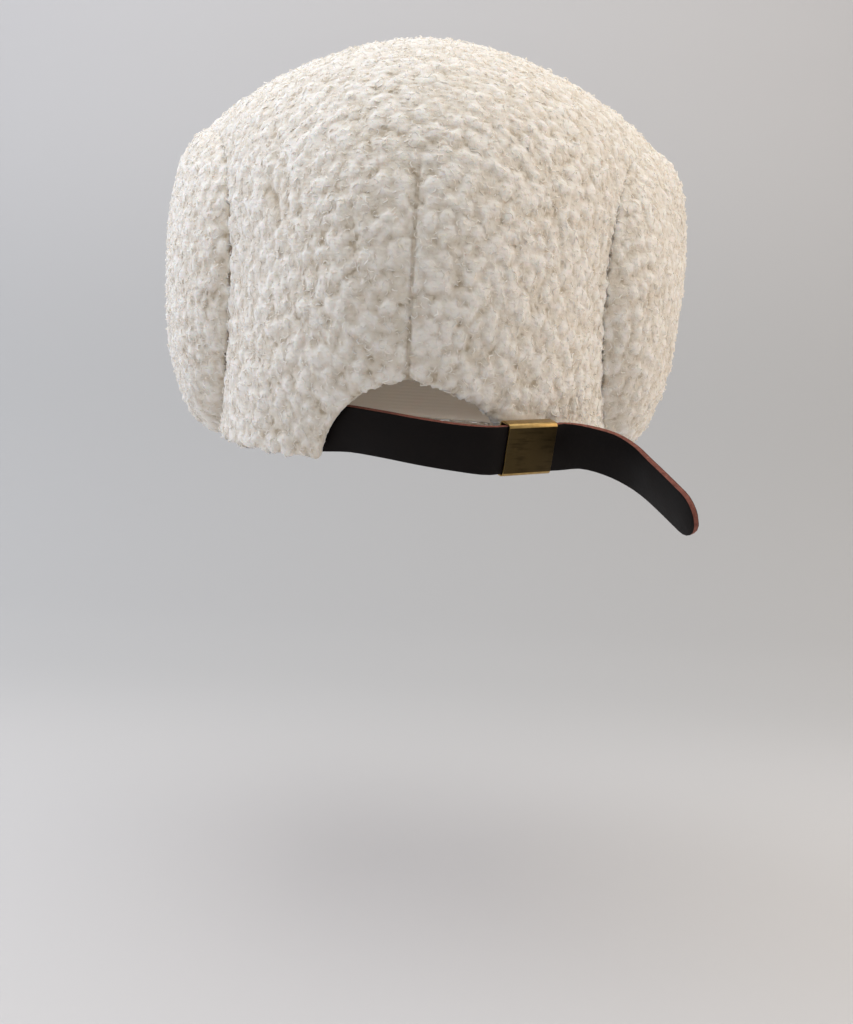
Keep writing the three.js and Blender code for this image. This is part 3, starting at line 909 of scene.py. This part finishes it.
# %% Sow the curls
BACK_START = 32 * MM
CROWN_START = -52 * MM
FAR = 1.0
EVERYWHERE = (-FAR, FAR)
CURL_FIELDS = [
    {"panel": top, "name": "boucle_top_curls_back", "seed": 10, "span": (BACK_START, FAR)},
    {"panel": top, "name": "boucle_top_curls_crown", "seed": 20, "span": (CROWN_START, BACK_START)},
    {"panel": top, "name": "boucle_top_curls_front", "seed": 30, "span": (-FAR, CROWN_START)},
    {"panel": left, "name": "boucle_side_left_curls", "seed": 50, "span": EVERYWHERE},
    {"panel": right, "name": "boucle_side_right_curls", "seed": 60, "span": EVERYWHERE},
    {"panel": peak, "name": "boucle_peak_curls", "seed": 70, "span": EVERYWHERE},
]


def sow_curls(panel, name, seed, span):
    only(panel)
    bpy.ops.object.duplicate()
    piece = bpy.context.object
    piece.name = name
    piece.data.name = name
    tree, start, end = node_modifier(piece, "sow")
    points = scattered_points(tree, start, seed, span)
    curls = crumpled(tree, real_curls(tree, points, seed))
    tree.links.new(curls.outputs[0], end)
    apply_all(piece)
    piece.data.materials.clear()
    piece.data.materials.append(yarn)
    print(piece.name, triangles(piece), "triangles")
    return piece


curl_pieces = [sow_curls(**field) for field in CURL_FIELDS]
print("curls in all:", sum(triangles(piece) for piece in curl_pieces), "triangles")
for curl in list(curl_box.objects):
    bpy.data.objects.remove(curl)
bpy.data.collections.remove(curl_box)

# %% [markdown]
# ## Floor and backdrop
# A sweep of paper, a floor that rolls up into a wall behind the cap, leaves no horizon line.
# A plane is stretched into the floor, its far edge is extruded up, and a wide bevel rounds the fold.
# The paper's colour is darkened along the fold as painted shade and stays light on the near floor and the
# upper wall, which two ranges of the object coordinates describe.

# %% Paper sweep
FLOOR_HEIGHT = -0.195
SWEEP_WIDTH = 8.0
SWEEP_FRONT = 3.0
SWEEP_BACK = -1.35
SWEEP_WALL = 3.0
SWEEP_ROUND = 0.7
SWEEP_STEPS = 24
PALE_FLOOR = (-0.45, 0.1)
PALE_WALL = (-0.05, 0.6)
paper, tree, shader = new_material("backdrop_paper_painted_fold_shade")
place = add_node(tree, "ShaderNodeTexCoord")
parts = add_node(tree, "ShaderNodeSeparateXYZ", {"Vector": place.outputs["Object"]})
near = add_node(
    tree, "ShaderNodeMapRange",
    {"Value": parts.outputs["Y"], "From Min": PALE_FLOOR[0], "From Max": PALE_FLOOR[1]},
    interpolation_type="SMOOTHSTEP")
high = add_node(
    tree, "ShaderNodeMapRange",
    {"Value": parts.outputs["Z"], "From Min": PALE_WALL[0], "From Max": PALE_WALL[1]},
    interpolation_type="SMOOTHSTEP")
# Painted shade: the paper takes the darker grey along the fold, away from the near floor and the upper wall.
pale = add_node(
    tree, "ShaderNodeMath", {0: near.outputs["Result"], 1: high.outputs["Result"]}, operation="MAXIMUM")
colour = add_node(
    tree, "ShaderNodeMix",
    {"Factor": pale.outputs[0], 6: linear("#a9a9a9"), 7: linear("#c6c5c5")}, data_type="RGBA")
tree.links.new(colour.outputs[2], shader.inputs["Base Color"])
shader.inputs["Roughness"].default_value = 0.9

bpy.ops.object.select_all(action="DESELECT")
bpy.ops.mesh.primitive_plane_add(size=1, location=(0, 0, FLOOR_HEIGHT))
floor = bpy.context.object
floor.name = "paper_sweep"
bpy.ops.object.mode_set(mode="EDIT")
bpy.ops.mesh.select_all(action="SELECT")
bpy.ops.transform.resize(value=(SWEEP_WIDTH, 1, 1))
bpy.ops.object.mode_set(mode="OBJECT")
bpy.ops.object.transform_apply(location=True)
for vertex in floor.data.vertices:
    vertex.co.y = SWEEP_FRONT if vertex.co.y > 0 else SWEEP_BACK
only(floor)
bpy.ops.object.mode_set(mode="EDIT")
bpy.ops.mesh.select_all(action="DESELECT")
bpy.ops.object.mode_set(mode="OBJECT")
for edge in floor.data.edges:
    edge.select = all(floor.data.vertices[i].co.y < 0 for i in edge.vertices)
bpy.ops.object.mode_set(mode="EDIT")
bpy.ops.mesh.select_mode(type="EDGE")
bpy.ops.mesh.extrude_region_move(TRANSFORM_OT_translate={"value": (0, 0, SWEEP_WALL)})
bpy.ops.object.mode_set(mode="OBJECT")
fold = floor.modifiers.new("fold", "BEVEL")
fold.width = SWEEP_ROUND
fold.segments = SWEEP_STEPS
fold.limit_method = "ANGLE"
apply_all(floor)
bpy.ops.object.shade_smooth()
floor.data.materials.append(paper)
print("floor at", FLOOR_HEIGHT, "m")

# %% [markdown]
# ## Light
# Large round lamps give soft studio light: a cool key from the upper left of the picture, a weaker warm fill
# from the right and a broad light from above. A picture of a studio could light the scene too, but three
# lamps and a grey world that keeps the shadows open are easier to steer.

# %% Light
LIGHTS = [
    {"name": "key", "place": (1.2, -0.3, 0.8), "size": 1.6, "watts": 17.5, "colour": "#ebf1ff"},
    {"name": "fill", "place": (-1.2, -0.2, 0.5), "size": 1.4, "watts": 9, "colour": "#ffe9cf"},
    {"name": "above", "place": (0.0, 0.0, 1.3), "size": 1.8, "watts": 12, "colour": "#fffdf8"},
]
AIM = Vector((0, 0, 0.06))
WORLD_STRENGTH = 0.84

for row in LIGHTS:
    bpy.ops.object.light_add(type="AREA", location=row["place"])
    light = bpy.context.object
    light.name = row["name"]
    light.data.shape = "DISK"
    light.data.size = row["size"]
    light.data.energy = row["watts"]
    light.data.color = linear(row["colour"])[:3]
    light.rotation_euler = (AIM - Vector(row["place"])).to_track_quat("-Z", "Y").to_euler()
world = bpy.data.worlds.new("studio")
world.use_nodes = True
sky = world.node_tree.nodes["Background"]
sky.inputs["Color"].default_value = linear("#c9cacc")
sky.inputs["Strength"].default_value = WORLD_STRENGTH
bpy.context.scene.world = world
bpy.context.scene.view_settings.view_transform = "Standard"
print("lights:", [row["name"] for row in LIGHTS])

# %% [markdown]
# ## Riding and replacing
# Every piece rides on the cap's one body, and the imported piece that it stands for is hidden.
# The curls stand on panels that already replace their walls, so they only ride.

# %% Ride and replace
finishes = {"strap": (strap, "leather"), "buckle_tab": (tab, "leather"), "buckle": (buckle, "brass")}
finishes.update({node: (panel, "boucle") for node, panel in panels.items()})
for node, (piece, slot) in finishes.items():
    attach(piece, "root")
    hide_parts(node)
for piece in curl_pieces:
    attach(piece, "root")
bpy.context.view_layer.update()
added = sum(triangles(piece) for piece in [*curl_pieces, *panels.values(), strap, tab, buckle])
print("triangles in all:", added)
